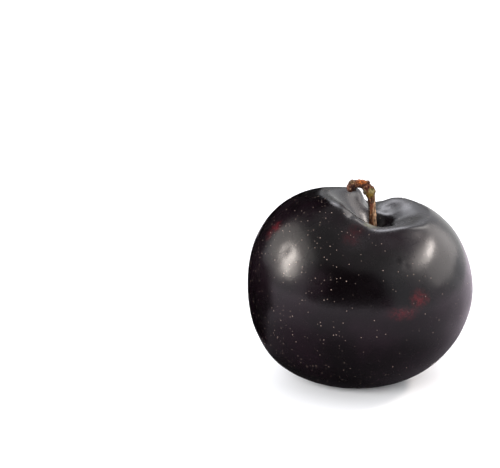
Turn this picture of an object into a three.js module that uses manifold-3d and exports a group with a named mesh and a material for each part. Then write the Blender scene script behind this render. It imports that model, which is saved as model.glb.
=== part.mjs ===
// A plum: one whole fruit, tilted as it lies on its small flat spot, with its woody stem standing in the
// hollow at the top. Millimetres and degrees. +Z is up and -Y is the side that faces the viewer.
import * as THREE from "three";
import { mergeVertices } from "three/addons/utils/BufferGeometryUtils.js";
import Module from "manifold-3d";

// The plain rounded body, measured in the fruit's own frame before it is tilted.
const FRUIT_WIDTH = 62;
const FRUIT_DEPTH = 60;
const CROWN_HEIGHT = 25.6; // widest girth up to the crown, before the hollow is pressed in
const BASE_HEIGHT = 29.2; // widest girth down to the tip

// How the fruit lies: its top leans to the right and a little towards the viewer.
const LEAN_RIGHT = 8.3;
const LEAN_FORWARD = 8.9;
const FLAT_SPOT_DEPTH = 0.4; // how much of the lowest point is flattened where it rests

// Swellings and dips of the skin. Azimuth turns from +X towards +Y, polar runs down from the crown,
// reach is how far the skin follows, and height is outwards.
const LEFT_SHOULDER = { azimuth: 175, polar: 43, reach: 24, height: 1.8 };
const RIGHT_SHOULDER = { azimuth: 5, polar: 35, reach: 20, height: 0.8 };
const FRONT_RIM_DIP = { azimuth: 270, polar: 30, reach: 18, height: -2.1 };
const LOWER_CHEEK = { azimuth: 190, polar: 145, reach: 28, height: 2.5 };

// The hollow the stem stands in: a wide shallow dish with a deeper cup in it.
const HOLLOW_CENTRE = new THREE.Vector2(0.7, 2.9);
const DISH = { reach: 22, depth: 1 };
const CUP = { reach: 16.5, depth: 9 };

// The seam at the back: a notch where it leaves the cup between the shoulders, then a shallow crease that
// runs down the back, fading in over the shoulder and out again short of the tip.
const SEAM_NOTCH = { length: 16, halfWidth: 8, depth: 5.2, clearOfCup: 21.5 };
const SEAM_CREASE = { fromPolar: 38, toPolar: 168, halfWidth: 5, depth: 0.8 };

// The stem. Its line is given as it stands, from the foot in the hollow up the shank and over the bend.
const STEM_FOOT_RADIUS = 1.2;
const STEM_SHANK_RADIUS = 0.98;
const STEM_NODE_RADIUS = 1.24;
const STEM_ARM_RADIUS = 1.05;
const FLARE_LENGTH = 0.22; // share of the stem's length over which the foot narrows to the shank
const NODE_AT = 0.6; // share of the length where the swollen node sits
const NODE_SPREAD = 0.1;
const STEM_END_SIZE = new THREE.Vector3(2.5, 2.5, 3.3);
const STEM_END_TILT = 14;
const STEM_END_AT = new THREE.Vector3(-2.6, -0.35, 56.05);
const STEM_LINE = [
  [3.3, 0.1, 42.8],
  [3.3, 0.2, 45.5],
  [3.1, 0.45, 48.6],
  [2.88, 0.45, 52.0],
  [2.62, 0.4, 53.9],
  [1.85, 0.3, 55.3],
  [0.7, 0.1, 56.25],
  [-0.7, -0.1, 56.65],
  [-2.0, -0.3, 56.5],
];
const PIT_CUT_HEIGHT = 4; // from the pit's bottom to above the floor of the hollow
const CLEARANCE = 0.3; // gap between the foot and the flesh round it

// Facets.
const MERIDIANS = 64;
const CROWN_ROWS = 22;
const LOWER_ROWS = 24;
const CROWN_ROWS_END = 62; // polar angle where the close rows of the crown end
const STEM_SIDES = 20;
const STEM_RINGS = 34;

const wasm = await Module();
wasm.setup();
const { Manifold, Mesh } = wasm;
const radians = THREE.MathUtils.degToRad;

function solidOf(geometry) {
  const bare = new THREE.BufferGeometry().setAttribute("position", geometry.getAttribute("position"));
  bare.setIndex(geometry.index);
  const merged = mergeVertices(bare, 1e-3);
  const vertProperties = merged.getAttribute("position").array;
  return new Manifold(new Mesh({ numProp: 3, vertProperties, triVerts: new Uint32Array(merged.index.array) }));
}

function geometryOf(solid) {
  const mesh = solid.getMesh();
  const geometry = new THREE.BufferGeometry();
  geometry.setAttribute("position", new THREE.BufferAttribute(mesh.vertProperties, 3));
  geometry.setIndex(new THREE.BufferAttribute(mesh.triVerts, 1));
  geometry.computeVertexNormals();
  return geometry;
}

// 1 at the centre, easing to 0 at the reach.
function ease(distance, reach) {
  const near = THREE.MathUtils.clamp(1 - distance / reach, 0, 1);
  return near * near * (3 - 2 * near);
}

function bodyPoint(azimuth, polar) {
  const around = radians(azimuth);
  const down = radians(polar);
  const height = polar < 90 ? CROWN_HEIGHT : BASE_HEIGHT;
  return new THREE.Vector3(
    (FRUIT_WIDTH / 2) * Math.sin(down) * Math.cos(around),
    (FRUIT_DEPTH / 2) * Math.sin(down) * Math.sin(around),
    height * Math.cos(down),
  );
}

// Moves the skin round a point of the plain body straight out from the middle of the fruit, or in.
function swell(point, { azimuth, polar, reach, height }) {
  const centre = bodyPoint(azimuth, polar);
  const outward = centre.clone().normalize();
  point.addScaledVector(outward, height * ease(point.distanceTo(centre), reach));
}

function pressHollow(point) {
  const fromCentre = new THREE.Vector2(point.x, point.y).sub(HOLLOW_CENTRE);
  const along = THREE.MathUtils.clamp(fromCentre.y, 0, SEAM_NOTCH.length);
  const fromSeam = Math.hypot(fromCentre.x, fromCentre.y - along);
  const distance = fromCentre.length();
  const dish = DISH.depth * ease(distance, DISH.reach) + CUP.depth * ease(distance, CUP.reach);
  const notch = SEAM_NOTCH.depth * ease(fromSeam, SEAM_NOTCH.halfWidth);
  point.z -= dish + notch * (1 - ease(distance, SEAM_NOTCH.clearOfCup));
}

function pressCrease(point) {
  if (point.y <= 0) return;
  const polar = THREE.MathUtils.radToDeg(Math.atan2(Math.hypot(point.x, point.y), point.z));
  const middle = (SEAM_CREASE.fromPolar + SEAM_CREASE.toPolar) / 2;
  const alongSeam = ease(Math.abs(polar - middle), middle - SEAM_CREASE.fromPolar);
  const acrossSeam = ease(Math.abs(point.x - HOLLOW_CENTRE.x), SEAM_CREASE.halfWidth);
  point.addScaledVector(point.clone().normalize(), -SEAM_CREASE.depth * alongSeam * acrossSeam);
}

function makeFruitSkin() {
  const polars = [];
  for (let row = 0; row <= CROWN_ROWS; row++) polars.push((CROWN_ROWS_END * row) / CROWN_ROWS);
  for (let row = 1; row <= LOWER_ROWS; row++) {
    polars.push(CROWN_ROWS_END + ((180 - CROWN_ROWS_END) * row) / LOWER_ROWS);
  }
  const profile = polars.reverse().map((polar, row) => {
    const onAxis = row === 0 || row === polars.length - 1;
    return new THREE.Vector2(onAxis ? 0 : Math.sin(radians(polar)), Math.cos(radians(polar)));
  });
  const skin = new THREE.LatheGeometry(profile, MERIDIANS).rotateX(Math.PI / 2);
  const place = skin.getAttribute("position");
  const point = new THREE.Vector3();
  for (let i = 0; i < place.count; i++) {
    point.fromBufferAttribute(place, i);
    const inCrown = point.z > 0;
    const height = inCrown ? CROWN_HEIGHT : BASE_HEIGHT;
    point.set((point.x * FRUIT_WIDTH) / 2, (point.y * FRUIT_DEPTH) / 2, point.z * height);
    swell(point, LEFT_SHOULDER);
    swell(point, RIGHT_SHOULDER);
    swell(point, FRONT_RIM_DIP);
    swell(point, LOWER_CHEEK);
    if (inCrown) pressHollow(point);
    pressCrease(point);
    place.setXYZ(i, point.x, point.y, point.z);
  }
  return skin.rotateX(radians(LEAN_FORWARD)).rotateY(radians(LEAN_RIGHT));
}

// Sets the tilted fruit down with its flattened spot at height 0 and its girth centred on the origin.
function standAtOrigin(skin) {
  skin.computeBoundingBox();
  const { min, max } = skin.boundingBox;
  return skin.translate(-(min.x + max.x) / 2, -(min.y + max.y) / 2, -min.z - FLAT_SPOT_DEPTH);
}

function makeFruit() {
  const ground = new THREE.BoxGeometry(2 * FRUIT_WIDTH, 2 * FRUIT_DEPTH, FRUIT_WIDTH);
  ground.translate(0, 0, -FRUIT_WIDTH / 2);
  const pitRadius = STEM_FOOT_RADIUS + CLEARANCE;
  const [footX, footY, footZ] = STEM_LINE[0];
  const pit = new THREE.CylinderGeometry(pitRadius, pitRadius, PIT_CUT_HEIGHT, STEM_SIDES)
    .rotateX(Math.PI / 2)
    .translate(footX, footY, footZ - CLEARANCE + PIT_CUT_HEIGHT / 2);
  return solidOf(standAtOrigin(makeFruitSkin())).subtract(solidOf(ground)).subtract(solidOf(pit));
}

// Radius of the stem at a share of its length from the foot: a flared foot, a slender shank, the swollen
// node, and a slightly thicker arm that ends inside the knob.
function stemRadius(share) {
  const flare = (STEM_FOOT_RADIUS - STEM_SHANK_RADIUS) * ease(share, FLARE_LENGTH);
  const arm = (STEM_ARM_RADIUS - STEM_SHANK_RADIUS) * (1 - ease(share, NODE_AT));
  const swelling = (STEM_NODE_RADIUS - STEM_ARM_RADIUS) * ease(Math.abs(share - NODE_AT), NODE_SPREAD);
  return STEM_SHANK_RADIUS + flare + arm + swelling;
}

function makeStem() {
  const line = new THREE.CatmullRomCurve3(STEM_LINE.map((p) => new THREE.Vector3(...p)));
  const frames = line.computeFrenetFrames(STEM_RINGS, false);
  const profile = [new THREE.Vector2(0, 0)];
  for (let ring = 0; ring <= STEM_RINGS; ring++) {
    const share = ring / STEM_RINGS;
    profile.push(new THREE.Vector2(stemRadius(share), share));
  }
  profile.push(new THREE.Vector2(0, 1));
  const bark = new THREE.LatheGeometry(profile, STEM_SIDES);
  const place = bark.getAttribute("position");
  const point = new THREE.Vector3();
  for (let i = 0; i < place.count; i++) {
    point.fromBufferAttribute(place, i);
    const ring = Math.round(point.y * STEM_RINGS);
    const onLine = line.getPointAt(point.y);
    onLine.addScaledVector(frames.normals[ring], point.z);
    onLine.addScaledVector(frames.binormals[ring], point.x);
    place.setXYZ(i, onLine.x, onLine.y, onLine.z);
  }
  const knob = new THREE.SphereGeometry(0.5, STEM_SIDES, STEM_SIDES / 2)
    .rotateX(Math.PI / 2)
    .scale(...STEM_END_SIZE)
    .rotateY(radians(STEM_END_TILT))
    .translate(...STEM_END_AT);
  return solidOf(bark).add(solidOf(knob));
}

function node(name, solid, colour, roughness) {
  const material = new THREE.MeshStandardMaterial({ color: colour, roughness, metalness: 0 });
  const mesh = new THREE.Mesh(geometryOf(solid), material);
  mesh.name = name;
  return mesh;
}

const plum = new THREE.Group();
plum.name = "plum";
plum.add(node("fruit", makeFruit(), 0x2a1c28, 0.3));
plum.add(node("stem", makeStem(), 0x8a5a3a, 0.8));

export default plum;
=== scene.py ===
import math

import bpy
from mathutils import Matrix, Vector


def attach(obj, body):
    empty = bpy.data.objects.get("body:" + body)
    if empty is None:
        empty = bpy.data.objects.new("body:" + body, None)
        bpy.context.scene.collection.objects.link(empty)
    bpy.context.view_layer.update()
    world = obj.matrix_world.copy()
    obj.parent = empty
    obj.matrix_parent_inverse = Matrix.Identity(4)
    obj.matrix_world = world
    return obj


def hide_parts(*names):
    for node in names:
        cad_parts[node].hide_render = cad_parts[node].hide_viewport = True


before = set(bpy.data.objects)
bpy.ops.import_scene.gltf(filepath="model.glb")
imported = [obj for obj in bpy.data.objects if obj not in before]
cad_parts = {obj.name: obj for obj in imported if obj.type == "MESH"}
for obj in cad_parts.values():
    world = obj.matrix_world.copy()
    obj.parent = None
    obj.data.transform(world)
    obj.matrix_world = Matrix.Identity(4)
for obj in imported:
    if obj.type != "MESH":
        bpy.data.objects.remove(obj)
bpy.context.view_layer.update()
mm = 0.001


def linear(hexColour):
    # sRGB hex to the linear colour a socket takes
    channels = []
    for start in (1, 3, 5):
        value = int(hexColour[start:start + 2], 16) / 255
        channels.append(value / 12.92 if value <= 0.04045 else ((value + 0.055) / 1.055) ** 2.4)
    return (*channels, 1.0)


def addNode(tree, kind, inputs=None, **settings):
    node = tree.nodes.new("ShaderNode" + kind)
    for name, value in settings.items():
        setattr(node, name, value)
    for socket, value in (inputs or {}).items():
        if isinstance(value, bpy.types.NodeSocket):
            tree.links.new(value, node.inputs[socket])
        else:
            node.inputs[socket].default_value = value
    return node


def newMaterial(name):
    material = bpy.data.materials.new(name)
    material.use_nodes = True
    tree = material.node_tree
    return material, tree, tree.nodes["Principled BSDF"]


def fillRamp(ramp, stops):
    # puts positions from 0 to 1 and their linear colours on a colour ramp
    elements = ramp.color_ramp.elements
    for index, (position, colour) in enumerate(stops):
        element = elements[index] if index < len(elements) else elements.new(position)
        element.position = position
        element.color = colour


def giveMaterial(piece, material):
    piece.data.materials.clear()
    piece.data.materials.append(material)


def inMetres(place):
    return Vector(place) * mm


def perMetre(size):
    # the scale of a pattern whose size is given in millimetres
    return 1 / (size * mm)


def startEditing(piece):
    bpy.ops.object.select_all(action="DESELECT")
    bpy.context.view_layer.objects.active = piece
    piece.select_set(True)
    bpy.ops.object.mode_set(mode="EDIT")
    bpy.ops.mesh.select_all(action="DESELECT")


def selectWhere(piece, wanted):
    # selects the vertices whose place is wanted
    bpy.ops.mesh.select_all(action="DESELECT")
    bpy.ops.object.mode_set(mode="OBJECT")
    for vertex in piece.data.vertices:
        vertex.select = wanted(vertex.co)
    bpy.ops.object.mode_set(mode="EDIT")


def pickNearest(piece, places):
    # selects the vertex nearest each place, given in millimetres
    bpy.ops.mesh.select_all(action="DESELECT")
    bpy.ops.object.mode_set(mode="OBJECT")
    for place in places:
        target = inMetres(place)
        nearest = min(piece.data.vertices, key=lambda vertex: (vertex.co - target).length_squared)
        nearest.select = True
    bpy.ops.object.mode_set(mode="EDIT")


def dragSkin(piece, places, move, reach):
    # drags the vertices at the places, and the skin within reach follows
    pickNearest(piece, places)
    bpy.ops.transform.translate(
        value=inMetres(move),
        use_proportional_edit=True,
        proportional_edit_falloff="SMOOTH",
        proportional_size=reach * mm,
    )


def applyModifier(piece, kind, **settings):
    modifier = piece.modifiers.new(kind.lower(), kind)
    for name, value in settings.items():
        setattr(modifier, name, value)
    bpy.ops.object.modifier_apply(modifier=modifier.name)


def cloudTexture(name, size, depth):
    texture = bpy.data.textures.new(name, "CLOUDS")
    texture.noise_scale = size * mm
    texture.noise_depth = depth
    return texture


# Camera: at the photograph's angle, 15 degrees above the table, with its framing. Millimetres.
camera = {
    "place": (-30.26, -401.83, 150.2),
    "lookDown": 15,
    "lens": 109.56,
    "sensor": 36,
    "nearest": 10,
}


def makeCamera():
    bpy.ops.object.camera_add(location=inMetres(camera["place"]))
    view = bpy.context.object
    view.name = "camera"
    view.rotation_euler = (math.radians(90 - camera["lookDown"]), 0, 0)
    view.data.lens = camera["lens"]
    view.data.sensor_width = camera["sensor"]
    view.data.clip_start = camera["nearest"] * mm
    bpy.context.scene.camera = view


# Fruit: sizes in millimetres. It is shaped upright, in its own frame, and then leans over and stands.
fruit = {
    "width": 62,
    "depth": 60,
    "crownHeight": 25.6,
    "baseHeight": 29.2,
    "segments": 160,
    "rings": 110,
    # azimuth, polar, reach and height outwards of each broad swelling or dip
    "swellings": [
        (175, 43, 24, 1.8),
        (5, 35, 20, 0.8),
        (270, 30, 18, -1.8),
        (190, 145, 28, 2.5),
    ],
    "hollow": (0.9, 2.9),
    "dish": (23.3, 1.0),  # reach, depth
    "cup": (17.0, 9.0),
    # the seam behind the hollow: across, from and to behind its middle, reach and depth of each press
    "notch": [
        (3.6, 8, 17, 6.5, 1.7),
        (0.5, 9, 17, 3.6, 2.0),
        (1.2, 13, 20, 5, 0.8),
        (1.2, 14, 24, 7, 0.9),
    ],
    "notchHold": 0.45,  # half the width of the strip that a press takes hold of
    # the seam down the back: from and to polar angle, reach and depth
    "crease": [
        (40, 165, 5, 0.2),
        (62, 145, 5, 0.3),
        (84, 122, 5, 0.3),
    ],
    "creaseHold": 0.1,
    "scar": (3.0, 0.5),  # reach, depth
    "leanForward": 8.9,
    "leanRight": 8.3,
    "flatSpot": 0.4,
    # from here on the places are those of the standing fruit
    "footDimple": ((3.3, 0.1, 44.7), 6.5, 2.4),  # place, reach, depth
    "middle": (0, 0, 27),  # marks stand out from here
    # swellings, dents and welts of the skin: place, reach, height outwards
    "marks": [
        ((-4.0, -7.6, 50.4), 10, 2.2),
        ((-3.0, -17.5, 46.8), 7, -0.5),
        ((9.0, -12.4, 47.4), 7, 0.7),
        ((-4.4, -12.4, 50.2), 2.4, -0.4),
        ((7.6, -22.3, 42.0), 1.3, -0.07),
        ((9.3, -22.7, 41.2), 1.2, 0.1),
        ((10.4, -23.4, 40.3), 1.3, -0.09),
        ((-21.5, -3.0, 48.4), 2.4, -0.15),
        ((-20.0, -16.0, 42.5), 2.6, -0.12),
    ],
    "waveSize": 11,
    "waveHeight": 0.22,
}


def azimuthPolar(azimuth, polar):
    # a place on the plain body: azimuth turns from +X to +Y, polar runs down from the crown
    around = math.radians(azimuth)
    down = math.radians(polar)
    height = fruit["crownHeight"] if polar < 90 else fruit["baseHeight"]
    return Vector((
        fruit["width"] / 2 * math.sin(down) * math.cos(around),
        fruit["depth"] / 2 * math.sin(down) * math.sin(around),
        height * math.cos(down),
    ))


def topOf(x, y):
    # a place on the plain body's crown
    share = (2 * x / fruit["width"]) ** 2 + (2 * y / fruit["depth"]) ** 2
    return Vector((x, y, fruit["crownHeight"] * math.sqrt(1 - share)))


def pressSeam(piece):
    hollowY = fruit["hollow"][1]
    for across, start, end, reach, depth in fruit["notch"]:
        places = [
            vertex.co / mm for vertex in piece.data.vertices
            if abs(vertex.co.x / mm - across) < fruit["notchHold"]
            and start < vertex.co.y / mm - hollowY < end
            and vertex.co.z > 0
        ]
        dragSkin(piece, places, (0, 0, -depth), reach)
    for start, end, reach, depth in fruit["crease"]:
        selectWhere(piece, lambda place: (
            place.y > 0
            and abs(place.x) < fruit["creaseHold"] * mm
            and start < math.degrees(place.angle((0, 0, 1))) < end
        ))
        squeeze = 1 - depth / (fruit["depth"] / 2)
        bpy.ops.transform.resize(
            value=(1, squeeze, squeeze),
            center_override=(0, 0, 0),
            use_proportional_edit=True,
            proportional_edit_falloff="SMOOTH",
            proportional_size=reach * mm,
        )


def leanOver():
    # without a window the turn goes the other way, so the angles are negative
    bpy.ops.mesh.select_all(action="SELECT")
    for angle, axis in ((fruit["leanForward"], "X"), (fruit["leanRight"], "Y")):
        bpy.ops.transform.rotate(
            value=-math.radians(angle), orient_axis=axis, center_override=(0, 0, 0))


def standOnTable(piece):
    bpy.ops.object.mode_set(mode="OBJECT")
    xs = [vertex.co.x for vertex in piece.data.vertices]
    ys = [vertex.co.y for vertex in piece.data.vertices]
    zs = [vertex.co.z for vertex in piece.data.vertices]
    bpy.ops.object.mode_set(mode="EDIT")
    bpy.ops.mesh.select_all(action="SELECT")
    bpy.ops.transform.translate(value=(
        -(min(xs) + max(xs)) / 2,
        -(min(ys) + max(ys)) / 2,
        -min(zs) - fruit["flatSpot"] * mm,
    ))


def flattenUnderneath(piece):
    startEditing(piece)
    selectWhere(piece, lambda place: place.z < 0)
    bpy.ops.transform.resize(value=(1, 1, 0), center_override=(0, 0, 0))
    bpy.ops.object.mode_set(mode="OBJECT")


def makeFruit():
    bpy.ops.object.select_all(action="DESELECT")
    bpy.ops.mesh.primitive_uv_sphere_add(
        segments=fruit["segments"], ring_count=fruit["rings"], radius=1)
    piece = bpy.context.object
    piece.name = "plumFruit"
    startEditing(piece)
    bpy.ops.mesh.select_all(action="SELECT")
    bpy.ops.transform.resize(
        value=(fruit["width"] / 2 * mm, fruit["depth"] / 2 * mm, fruit["crownHeight"] * mm),
        center_override=(0, 0, 0),
    )
    selectWhere(piece, lambda place: place.z < 0)
    bpy.ops.transform.resize(
        value=(1, 1, fruit["baseHeight"] / fruit["crownHeight"]),
        center_override=(0, 0, 0),
    )
    for azimuth, polar, reach, height in fruit["swellings"]:
        place = azimuthPolar(azimuth, polar)
        dragSkin(piece, [place], place.normalized() * height, reach)
    for reach, depth in (fruit["dish"], fruit["cup"]):
        dragSkin(piece, [topOf(*fruit["hollow"])], (0, 0, -depth), reach)
    pressSeam(piece)
    scarReach, scarDepth = fruit["scar"]
    dragSkin(piece, [(0, 0, -fruit["baseHeight"])], (0, 0, scarDepth), scarReach)
    leanOver()
    standOnTable(piece)
    dimplePlace, dimpleReach, dimpleDepth = fruit["footDimple"]
    dragSkin(piece, [dimplePlace], (0, 0, -dimpleDepth), dimpleReach)
    for place, reach, height in fruit["marks"]:
        outward = (Vector(place) - Vector(fruit["middle"])).normalized()
        dragSkin(piece, [place], outward * height, reach)
    bpy.ops.object.mode_set(mode="OBJECT")
    applyModifier(piece, "SUBSURF", levels=1, render_levels=1)
    applyModifier(
        piece,
        "DISPLACE",
        texture=cloudTexture("skinWaves", fruit["waveSize"], depth=1),
        texture_coords="LOCAL",
        strength=fruit["waveHeight"] * mm,
        mid_level=0.5,
    )
    flattenUnderneath(piece)
    bpy.ops.object.shade_smooth()
    return piece


# Stem: its line as it stands, in millimetres, and its half thickness at each point.
stem = {
    "line": [
        ((3.3, 0.1, 41.6), 1.35),
        ((3.25, 0.1, 43.4), 1.25),
        ((3.2, 0.15, 45.0), 1.1),
        ((3.15, 0.2, 46.6), 1.04),
        ((3.08, 0.3, 48.3), 1.03),
        ((2.98, 0.4, 50.1), 1.02),
        ((2.86, 0.45, 51.6), 1.02),
        ((2.7, 0.45, 52.6), 1.07),
        ((2.52, 0.44, 53.4), 1.26),
        ((2.36, 0.42, 54.1), 1.4),
        ((2.1, 0.4, 54.8), 1.34),
        ((1.7, 0.33, 55.5), 1.24),
        ((1.1, 0.22, 56.15), 1.2),
        ((0.3, 0.1, 56.55), 1.22),
        ((-0.7, 0.0, 56.7), 1.18),
        ((-1.6, -0.15, 56.65), 1.14),
        ((-2.5, -0.25, 56.5), 1.2),
        ((-3.2, -0.35, 56.3), 0.9),
    ],
    "sides": 24,
    # corner of the first ring, and how far out it moves
    "ridges": [(2, 1.1), (5, 0.9), (8, 1.12), (12, 0.88), (15, 1.1), (19, 0.9), (22, 1.08)],
    # lumps grown onto the stem: place and half sizes
    "lumps": [
        ((-2.75, -0.35, 56.1), (1.1, 1.2, 1.55)),
        ((-2.5, -0.45, 57.3), (0.75, 0.75, 0.6)),
        ((-3.55, -0.35, 55.7), (0.55, 0.8, 0.95)),
        ((-2.1, -0.5, 55.2), (0.62, 0.8, 0.6)),
        ((-3.1, -0.4, 54.95), (0.75, 0.8, 0.6)),
        ((-1.3, -0.6, 57.4), (0.5, 0.6, 0.4)),
        ((0.1, -0.5, 57.35), (0.8, 0.6, 0.5)),
        ((1.55, -0.3, 57.05), (0.75, 0.75, 0.6)),
        ((1.0, 0.0, 54.3), (0.65, 0.6, 0.7)),
        ((0.7, 0.1, 55.0), (0.5, 0.5, 0.45)),
        ((3.4, 0.3, 54.4), (0.5, 0.7, 0.75)),
        ((2.9, -0.5, 55.6), (0.6, 0.6, 0.5)),
        ((2.95, -0.6, 53.5), (0.6, 0.5, 0.35)),
    ],
    "lumpSegments": 24,
    "lumpRings": 16,
    "grain": 0.1,  # size of the finished mesh's faces
    "smoothing": 0.5,
    "smoothTimes": 4,
    "barkSize": 0.6,
    "barkHeight": 0.32,
}


def makeStem():
    places = [inMetres(place) for place, radius in stem["line"]]
    radii = [radius * mm for place, radius in stem["line"]]
    bpy.ops.object.select_all(action="DESELECT")
    bpy.ops.mesh.primitive_circle_add(
        vertices=stem["sides"], radius=radii[0], fill_type="NGON", location=places[0])
    bpy.ops.object.transform_apply(location=True)
    piece = bpy.context.object
    piece.name = "plumStem"
    # ridges run up the stem from uneven corners of its first ring
    startEditing(piece)
    for corner, factor in stem["ridges"]:
        bpy.ops.mesh.select_all(action="DESELECT")
        bpy.ops.object.mode_set(mode="OBJECT")
        piece.data.vertices[corner].select = True
        bpy.ops.object.mode_set(mode="EDIT")
        bpy.ops.transform.resize(value=(factor, factor, 1), center_override=places[0])
    # each new ring is moved along the line, turned square to it and resized
    bpy.ops.mesh.select_all(action="SELECT")
    heading = 0
    for index in range(1, len(places)):
        step = places[index] - places[index - 1]
        following = places[min(index + 1, len(places) - 1)] - places[index - 1]
        bpy.ops.mesh.extrude_region_move(TRANSFORM_OT_translate={"value": step})
        turn = math.atan2(following.x, following.z) - heading
        heading += turn
        bpy.ops.transform.rotate(value=-turn, orient_axis="Y", center_override=places[index])
        factor = radii[index] / radii[index - 1]
        bpy.ops.transform.resize(value=(factor,) * 3, center_override=places[index])
    bpy.ops.mesh.select_all(action="DESELECT")
    for place, halfSizes in stem["lumps"]:
        bpy.ops.mesh.primitive_uv_sphere_add(
            segments=stem["lumpSegments"],
            ring_count=stem["lumpRings"],
            radius=1,
            location=inMetres(place),
            scale=inMetres(halfSizes),
        )
    bpy.ops.object.mode_set(mode="OBJECT")
    applyModifier(piece, "REMESH", mode="VOXEL", voxel_size=stem["grain"] * mm)
    applyModifier(piece, "SMOOTH", factor=stem["smoothing"], iterations=stem["smoothTimes"])
    applyModifier(
        piece,
        "DISPLACE",
        texture=cloudTexture("barkLumps", stem["barkSize"], depth=2),
        texture_coords="LOCAL",
        strength=stem["barkHeight"] * mm,
        mid_level=0.5,
    )
    bpy.ops.object.shade_smooth()
    return piece


def patchMask(tree, place, patch, fade):
    # 1 in the middle of a rounded patch, fading to 0; fade is in shares of the patch's half sizes
    centre, halfSizes = (inMetres(value) for value in patch)
    apart = addNode(tree, "VectorMath", {0: place, 1: centre}, operation="SUBTRACT").outputs[0]
    shares = addNode(tree, "VectorMath", {0: apart, 1: halfSizes}, operation="DIVIDE").outputs[0]
    distance = addNode(tree, "VectorMath", {0: shares}, operation="LENGTH").outputs["Value"]
    return addNode(tree, "MapRange", {
        "Value": distance, "From Min": fade[0], "From Max": fade[1], "To Min": 1.0, "To Max": 0.0,
    }, interpolation_type="SMOOTHSTEP").outputs["Result"]


# Skin: ripe black plum skin with its thin natural wax. It is near black, reflects softly like satin
# lacquer, and shows fine pale pores, a few spots where the red under the colour comes through, and a
# pale olive painted highlight on the rim before the stem. Sizes in millimetres.
skin = {
    "dark": "#040203",
    "warm": "#0c0509",
    "toneSize": 14,
    "toneFade": (0.42, 0.68),  # values of the noise between which the warm tone comes in
    "red": "#450b12",
    # place and half sizes, strength
    "redPatches": [
        (((13.7, -26.0, 32.1), (3.0, 3.2, 2.7)), 0.66),
        (((9.2, -28.3, 28.8), (4.8, 3.0, 2.0)), 0.44),
        (((-23.2, -8.2, 46.6), (2.2, 2.4, 1.8)), 0.85),
        (((-25.2, -8.0, 44.6), (1.6, 2.0, 1.8)), 0.45),
        (((-3.9, -18.9, 46.4), (2.8, 2.4, 2.2)), 0.2),
        (((-2.6, -16.0, 47.8), (2.8, 3.4, 1.6)), 0.16),
    ],
    "redFade": (0.1, 1.25),
    "ragSize": 1.4,  # a patch's edge is broken up by a noise of this size
    "ragReach": 2.6,
    "fleckSize": 0.9,
    "fleckFade": (0.24, 0.68),
    # painted highlight: a pale olive patch on the front rim before the stem
    "paintedRimHighlight": "#4c4a38",
    "paintedRimHighlightPatch": ((1.4, -13.0, 48.3), (2.6, 2.2, 1.3)),
    "paintedRimHighlightFade": (0.1, 1.2),
    "poreColour": "#85746a",
    "poreGrid": 0.8,  # the pores are drawn from random places about this far apart
    "poreRadius": 0.16,
    "poreCore": 0.6,  # share of the radius that is pale all over
    # the share of the random places that carry a pore falls from left to right
    "poreSpread": (-24, 6),
    "poreShare": (0.45, 0.11),
    "hazeSize": 5,
    "hazeFade": (0.3, 0.7),
    "roughness": (0.21, 0.31),  # where the wax is clear and where it is hazy
    "refraction": 1.43,
    "waxGloss": 0.3,  # plum wax reflects less than lacquer
    "grainSize": 0.7,
    "grainStrength": 0.25,
    "grainHeight": 0.06,
}


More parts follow.
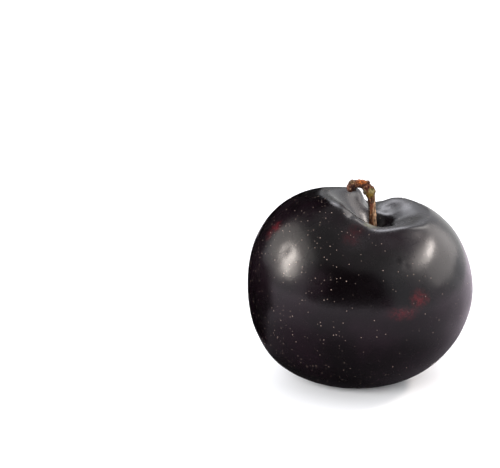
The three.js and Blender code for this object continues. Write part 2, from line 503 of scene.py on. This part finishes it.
def makeSkinMaterial():
    material, tree, shader = newMaterial("waxedBlackPlumSkin")
    place = addNode(tree, "TexCoord").outputs["Object"]
    tone = addNode(tree, "TexNoise", {
        "Vector": place, "Scale": perMetre(skin["toneSize"]), "Detail": 4.0,
    }).outputs["Fac"]
    toneMask = addNode(tree, "MapRange", {
        "Value": tone, "From Min": skin["toneFade"][0], "From Max": skin["toneFade"][1],
    }, interpolation_type="SMOOTHSTEP").outputs["Result"]
    colour = addNode(tree, "Mix", {
        0: toneMask, 6: linear(skin["dark"]), 7: linear(skin["warm"]),
    }, data_type="RGBA").outputs[2]
    # the patches are read from a place that a finer noise moves about
    ragged = addNode(tree, "TexNoise", {
        "Vector": place, "Scale": perMetre(skin["ragSize"]), "Detail": 5.0,
    }).outputs["Color"]
    ragOffset = addNode(
        tree, "VectorMath", {0: ragged, 1: (0.5, 0.5, 0.5)}, operation="SUBTRACT").outputs[0]
    rag = addNode(
        tree, "VectorMath", {0: ragOffset, "Scale": skin["ragReach"] * mm}, operation="SCALE").outputs[0]
    raggedPlace = addNode(tree, "VectorMath", {0: place, 1: rag}, operation="ADD").outputs[0]
    flecks = addNode(tree, "TexNoise", {
        "Vector": place, "Scale": perMetre(skin["fleckSize"]), "Detail": 3.0,
    }).outputs["Fac"]
    fleckMask = addNode(tree, "MapRange", {
        "Value": flecks, "From Min": skin["fleckFade"][0], "From Max": skin["fleckFade"][1],
    }, interpolation_type="SMOOTHSTEP").outputs["Result"]
    for patch, strength in skin["redPatches"]:
        inside = patchMask(tree, raggedPlace, patch, skin["redFade"])
        amount = addNode(tree, "Math", {0: inside, 1: strength}, operation="MULTIPLY").outputs[0]
        flecked = addNode(tree, "Math", {0: amount, 1: fleckMask}, operation="MULTIPLY").outputs[0]
        colour = addNode(
            tree, "Mix", {0: flecked, 6: colour, 7: linear(skin["red"])}, data_type="RGBA").outputs[2]
    # painted highlight: a pale olive patch on the front rim before the stem
    paintedRimHighlightMask = patchMask(tree, raggedPlace, skin["paintedRimHighlightPatch"], skin["paintedRimHighlightFade"])
    colour = addNode(
        tree, "Mix", {0: paintedRimHighlightMask, 6: colour, 7: linear(skin["paintedRimHighlight"])}, data_type="RGBA").outputs[2]
    # a pore is a small disc round a random place
    pores = addNode(tree, "TexVoronoi", {"Vector": place, "Scale": perMetre(skin["poreGrid"])})
    poreSize = skin["poreRadius"] / skin["poreGrid"]
    poreMask = addNode(tree, "MapRange", {
        "Value": pores.outputs["Distance"], "From Min": poreSize * skin["poreCore"],
        "From Max": poreSize, "To Min": 1.0, "To Max": 0.0,
    }, interpolation_type="SMOOTHSTEP").outputs["Result"]
    # more of the random places carry a pore on the left of the front than on the right
    chances = addNode(tree, "SeparateColor", {"Color": pores.outputs["Color"]})
    across = addNode(tree, "SeparateXYZ", {"Vector": place}).outputs["X"]
    share = addNode(tree, "MapRange", {
        "Value": across, "From Min": skin["poreSpread"][0] * mm, "From Max": skin["poreSpread"][1] * mm,
        "To Min": skin["poreShare"][0], "To Max": skin["poreShare"][1],
    }).outputs["Result"]
    chosen = addNode(
        tree, "Math", {0: chances.outputs["Red"], 1: share}, operation="LESS_THAN").outputs[0]
    poreHere = addNode(tree, "Math", {0: poreMask, 1: chosen}, operation="MULTIPLY").outputs[0]
    paleness = addNode(
        tree, "Math", {0: poreHere, 1: chances.outputs["Green"]}, operation="MULTIPLY").outputs[0]
    colour = addNode(tree, "Mix", {
        0: paleness, 6: colour, 7: linear(skin["poreColour"]),
    }, data_type="RGBA").outputs[2]
    tree.links.new(colour, shader.inputs["Base Color"])
    haze = addNode(tree, "TexNoise", {
        "Vector": place, "Scale": perMetre(skin["hazeSize"]), "Detail": 6.0,
    }).outputs["Fac"]
    rough = addNode(tree, "MapRange", {
        "Value": haze, "From Min": skin["hazeFade"][0], "From Max": skin["hazeFade"][1],
        "To Min": skin["roughness"][0], "To Max": skin["roughness"][1],
    }).outputs["Result"]
    tree.links.new(rough, shader.inputs["Roughness"])
    shader.inputs["IOR"].default_value = skin["refraction"]
    shader.inputs["Specular IOR Level"].default_value = skin["waxGloss"]
    grain = addNode(tree, "TexNoise", {
        "Vector": place, "Scale": perMetre(skin["grainSize"]), "Detail": 3.0,
    }).outputs["Fac"]
    bump = addNode(tree, "Bump", {
        "Height": grain, "Strength": skin["grainStrength"], "Distance": skin["grainHeight"] * mm,
    }).outputs["Normal"]
    tree.links.new(bump, shader.inputs["Normal"])
    return material


# Bark: dry woody stalk, its bark shrunk on as it dried. It is matt, fibrous and flecked. Millimetres.
bark = {
    # position on the ramp from the grain's furrows to its ridges, and colour
    "tones": [
        (0.34, "#200e07"),
        (0.5, "#4a2815"),
        (0.68, "#6b4426"),
    ],
    "fibreWidth": 0.4,
    "fibreStretch": 0.22,  # the lower, the longer the fibres
    "bend": (53.5, 55.5),  # the fibres turn to crumbs between these heights
    # place and half sizes, colour, strength: how the bark's colour differs from place to place, with
    # painted shade and painted highlight on some sides
    "tints": [
        (((1.9, 0.3, 48.4), (0.75, 2.5, 5.8)), "#190904", 0.9),  # painted shade down the left side
        (((3.85, -0.2, 48.8), (0.9, 1.6, 6.2)), "#9e7e61", 1.0),  # painted highlight: pale streak up the right
        (((2.9, -0.8, 50.6), (0.7, 1.0, 1.6)), "#4b2016", 0.7),
        (((3.0, -0.9, 46.8), (0.7, 1.0, 2.2)), "#513016", 0.6),
        (((2.4, -0.2, 53.7), (1.7, 2.2, 1.0)), "#554416", 0.9),  # olive node
        (((2.8, -0.4, 54.9), (1.3, 1.9, 0.9)), "#766c44", 0.85),
        (((0.8, 0.2, 54.5), (0.8, 1.6, 1.0)), "#3a3a2c", 0.8),
        (((1.2, -0.4, 55.9), (0.9, 1.8, 1.1)), "#441c12", 0.75),
        (((-0.1, -0.5, 57.4), (1.5, 1.6, 0.85)), "#96501d", 0.95),  # orange-brown bark on the arm's top, lightened as painted highlight
        (((-0.6, -0.4, 55.8), (1.7, 2.0, 0.7)), "#230907", 0.9),  # painted shade under the arm
        (((-2.8, -0.3, 55.9), (1.6, 2.0, 1.8)), "#2a0d07", 0.95),  # dark knob
        # painted shade under the arm, beside the knob
        (((-2.0, -0.6, 55.2), (0.9, 1.4, 0.9)), "#0c0402", 0.9),
        (((-2.7, -0.8, 57.3), (1.0, 1.2, 0.7)), "#4e3a20", 0.8),
        (((-3.8, -0.6, 55.7), (0.6, 1.2, 1.0)), "#6c4437", 0.6),
    ],
    "tintFade": (0.45, 1.15),
    "paintedFurrowShade": "#5a524c",  # painted shade: how dark the grain's furrows make the tints
    "paintedFurrowShadeFade": (0.34, 0.6),
    "paintedFurrowShadeStrength": 0.9,
    "speckle": "#7a6450",
    "speckleFade": (0.6, 0.68),
    "roughness": 0.75,
    "gloss": 0.25,
    "grainStrength": 0.8,
    "grainHeight": 0.15,
}


def makeStemMaterial():
    material, tree, shader = newMaterial("driedStemBark")
    place = addNode(tree, "TexCoord").outputs["Object"]
    along = addNode(
        tree, "Mapping", {"Vector": place, "Scale": (1.0, 1.0, bark["fibreStretch"])}).outputs[0]
    fineness = perMetre(bark["fibreWidth"])
    fibre = addNode(tree, "TexNoise", {"Vector": along, "Scale": fineness, "Detail": 5.0}).outputs["Fac"]
    crumb = addNode(tree, "TexNoise", {"Vector": place, "Scale": fineness, "Detail": 4.0}).outputs["Fac"]
    # fibres run up the shank, and the bent end is crumbly
    height = addNode(tree, "SeparateXYZ", {"Vector": place}).outputs["Z"]
    bent = addNode(tree, "MapRange", {
        "Value": height, "From Min": bark["bend"][0] * mm, "From Max": bark["bend"][1] * mm,
    }, interpolation_type="SMOOTHSTEP").outputs["Result"]
    grain = addNode(tree, "Mix", {0: bent, 2: fibre, 3: crumb}).outputs[0]
    ramp = addNode(tree, "ValToRGB", {"Fac": grain})
    fillRamp(ramp, [(position, linear(tone)) for position, tone in bark["tones"]])
    colour = ramp.outputs["Color"]
    for patch, tint, strength in bark["tints"]:
        inside = patchMask(tree, place, patch, bark["tintFade"])
        amount = addNode(tree, "Math", {0: inside, 1: strength}, operation="MULTIPLY").outputs[0]
        colour = addNode(
            tree, "Mix", {0: amount, 6: colour, 7: linear(tint)}, data_type="RGBA").outputs[2]
    # painted shade: the grain's furrows still darken the tints
    ridges = addNode(tree, "MapRange", {
        "Value": grain, "From Min": bark["paintedFurrowShadeFade"][0], "From Max": bark["paintedFurrowShadeFade"][1],
    }, interpolation_type="SMOOTHSTEP").outputs["Result"]
    shade = addNode(tree, "Mix", {
        0: ridges, 6: linear(bark["paintedFurrowShade"]), 7: linear("#ffffff"),
    }, data_type="RGBA").outputs[2]
    colour = addNode(tree, "Mix", {
        0: bark["paintedFurrowShadeStrength"], 6: colour, 7: shade,
    }, data_type="RGBA", blend_type="MULTIPLY").outputs[2]
    speckles = addNode(tree, "MapRange", {
        "Value": crumb, "From Min": bark["speckleFade"][0], "From Max": bark["speckleFade"][1],
    }, interpolation_type="SMOOTHSTEP").outputs["Result"]
    colour = addNode(
        tree, "Mix", {0: speckles, 6: colour, 7: linear(bark["speckle"])}, data_type="RGBA").outputs[2]
    tree.links.new(colour, shader.inputs["Base Color"])
    shader.inputs["Roughness"].default_value = bark["roughness"]
    shader.inputs["Specular IOR Level"].default_value = bark["gloss"]
    bump = addNode(tree, "Bump", {
        "Height": grain, "Strength": bark["grainStrength"], "Distance": bark["grainHeight"] * mm,
    }).outputs["Normal"]
    tree.links.new(bump, shader.inputs["Normal"])
    return material


# Studio: a white table under soft light from above and in front, a tall soft light on the left, a large
# soft panel and a small bright one on the right, and soft lights behind that shine into the hollow. Black
# and grey felt cards that only reflections see give the skin its dark parts. Places and sizes in
# millimetres, brightness in watts per square metre and steradian.
studio = {
    "tableSize": 8000,
    "table": "#ececec",
    "tableRoughness": 0.9,
    "sky": 1.3,
    "skyTint": "#f8f9ff",
    "aim": (0, 0, 30),  # where the lights point
    # name, middle, width, height, brightness, tint, seen in reflections, lights the table
    "lights": [
        ("overhead", (0, 0, 1300), 1400, 1400, 0.6, "#ffffff", False, True),
        ("frontFill", (-400, -810, 420), 900, 400, 13, "#ffffff", False, True),
        ("leftTall", (-380, -42, 219), 66, 158, 54, "#fff6ee", True, False),
        ("leftGlow", (-420, 45, 342), 370, 425, 2.4, "#fff5ea", True, False),
        ("rightPanel", (380, 90, 249), 480, 302, 3.7, "#fff6f2", True, False),
        ("rightSpot", (336, 20, 328), 104, 54, 60, "#fff5ef", True, True),
        ("rightGlow", (330, -40, 366), 260, 134, 4.6, "#fff5ef", True, False),
        ("wallGlow", (278, 288, 445), 96, 90, 8, "#fffaf6", True, False),
        ("lobeGlow", (-85, 340, 285), 110, 130, 2.2, "#f7f7ff", True, False),
        ("backTop", (0, 327, 432), 260, 150, 8, "#f7f7ff", True, False),
    ],
    # painted reflection of the table, with a painted contact shadow near the plum: distance from the
    # glow's middle and brightness
    "paintedTableReflectionStops": [(20, 0.03), (45, 0.33), (66, 1.0), (110, 1.3), (170, 1.6), (300, 2.2)],
    "glowMiddle": (-8, 4, 0.1),
    "glowTint": "#fff1ff",
    "glowRadius": 420,
    "glowSides": 96,
    # name, middle, width, height, leaning back from upright, turned about the vertical, brightness
    "cards": [
        ("frontCard", (-190, -500, 400), 940, 800, 0, 0, 0.0),
        ("leftCard", (-80, 145, 120), 240, 240, 0, 90, 0.0),
        ("lowLeftCard", (-80, 10, 22), 34, 46, 0, 90, 0.0),
        ("leftFloorCard", (-128, 104, 0.5), 184, 200, 90, 0, 0.0),
        ("shoulderCard", (-27, 34, 105), 38, 130, 0, 0, 0.0),
        ("backCard", (-5, 300, 82), 170, 164, 0, 0, 0.35),
        ("backRightCard", (205, 300, 77), 250, 154, 0, 0, 1.45),
        ("topCard", (-60, -40, 400), 460, 440, 90, 0, 0.6),
    ],
}


def makeTable():
    # matt white board: pale and even, with no mirror image of the plum
    board, tree, shader = newMaterial("matWhiteTable")
    shader.inputs["Base Color"].default_value = linear(studio["table"])
    shader.inputs["Roughness"].default_value = studio["tableRoughness"]
    bpy.ops.mesh.primitive_plane_add(size=studio["tableSize"] * mm)
    floor = bpy.context.object
    floor.name = "tableTop"
    giveMaterial(floor, board)


def lightRoom():
    world = bpy.data.worlds.new("paleRoom")
    world.use_nodes = True
    bpy.context.scene.world = world
    sky = world.node_tree.nodes["Background"]
    sky.inputs["Color"].default_value = linear(studio["skyTint"])
    sky.inputs["Strength"].default_value = studio["sky"]
    bpy.context.scene.view_settings.view_transform = "Standard"
    for name, middle, width, height, brightness, tint, inReflections, onTable in studio["lights"]:
        bpy.ops.object.light_add(type="AREA", location=inMetres(middle))
        light = bpy.context.object
        light.name = name
        towards = inMetres(studio["aim"]) - inMetres(middle)
        light.rotation_euler = towards.to_track_quat("-Z", "Y").to_euler()
        light.data.shape = "RECTANGLE"
        light.data.size = width * mm
        light.data.size_y = height * mm
        light.data.energy = brightness * math.pi * width * height * mm * mm
        light.data.color = linear(tint)[:3]
        light.visible_camera = False
        light.visible_glossy = inReflections
        light.visible_diffuse = onTable


def newFelt(name):
    # black felt: it reflects next to nothing, so it shows only the light that is set on it
    felt, tree, shader = newMaterial(name)
    shader.inputs["Base Color"].default_value = (0, 0, 0, 1)
    shader.inputs["Specular IOR Level"].default_value = 0
    return felt, tree, shader


def keepToReflections(piece):
    # the camera doesn't see it, and it neither lights nor shades anything
    piece.visible_camera = False
    piece.visible_diffuse = False
    piece.visible_shadow = False


def makePaintedTableReflection():
    # painted reflection of the table that takes its place in reflections, with a painted contact shadow:
    # dark close to the plum and brighter further out
    felt, tree, shader = newFelt("paintedTableReflection")
    place = addNode(tree, "TexCoord").outputs["Object"]
    middle = inMetres(studio["glowMiddle"])
    radius = studio["glowRadius"]
    distance = addNode(tree, "VectorMath", {0: place, 1: middle}, operation="DISTANCE").outputs["Value"]
    reach = addNode(tree, "Math", {0: distance, 1: radius * mm}, operation="DIVIDE").outputs[0]
    ramp = addNode(tree, "ValToRGB", {"Fac": reach})
    red, green, blue, alpha = linear(studio["glowTint"])
    fillRamp(ramp, [
        (away / radius, (brightness * red, brightness * green, brightness * blue, alpha))
        for away, brightness in studio["paintedTableReflectionStops"]
    ])
    tree.links.new(ramp.outputs["Color"], shader.inputs["Emission Color"])
    shader.inputs["Emission Strength"].default_value = 1
    bpy.ops.mesh.primitive_circle_add(
        vertices=studio["glowSides"], radius=radius * mm, fill_type="NGON", location=middle)
    bpy.ops.object.transform_apply(location=True)
    glow = bpy.context.object
    glow.name = "paintedTableReflection"
    giveMaterial(glow, felt)
    keepToReflections(glow)


def makeCards():
    for name, middle, width, height, lean, turn, brightness in studio["cards"]:
        felt, tree, shader = newFelt(name + "Felt")
        shader.inputs["Emission Color"].default_value = (1, 1, 1, 1)
        shader.inputs["Emission Strength"].default_value = brightness
        bpy.ops.mesh.primitive_plane_add(
            size=1, location=inMetres(middle), rotation=(math.radians(90 - lean), 0, math.radians(turn)))
        card = bpy.context.object
        card.name = name
        card.scale = (width * mm, height * mm, 1)
        bpy.ops.object.transform_apply(location=True, rotation=True, scale=True)
        giveMaterial(card, felt)
        keepToReflections(card)


makeCamera()
print("camera placed")
plumFruit = makeFruit()
giveMaterial(plumFruit, makeSkinMaterial())
print("fruit shaped and coloured")
plumStem = makeStem()
giveMaterial(plumStem, makeStemMaterial())
print("stem grown and coloured")
makeTable()
lightRoom()
makePaintedTableReflection()
makeCards()
print("studio lit")
for piece, node, slot in ((plumFruit, "fruit", "plum_skin"), (plumStem, "stem", "stem_bark")):
    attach(piece, "root")
    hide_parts(node)
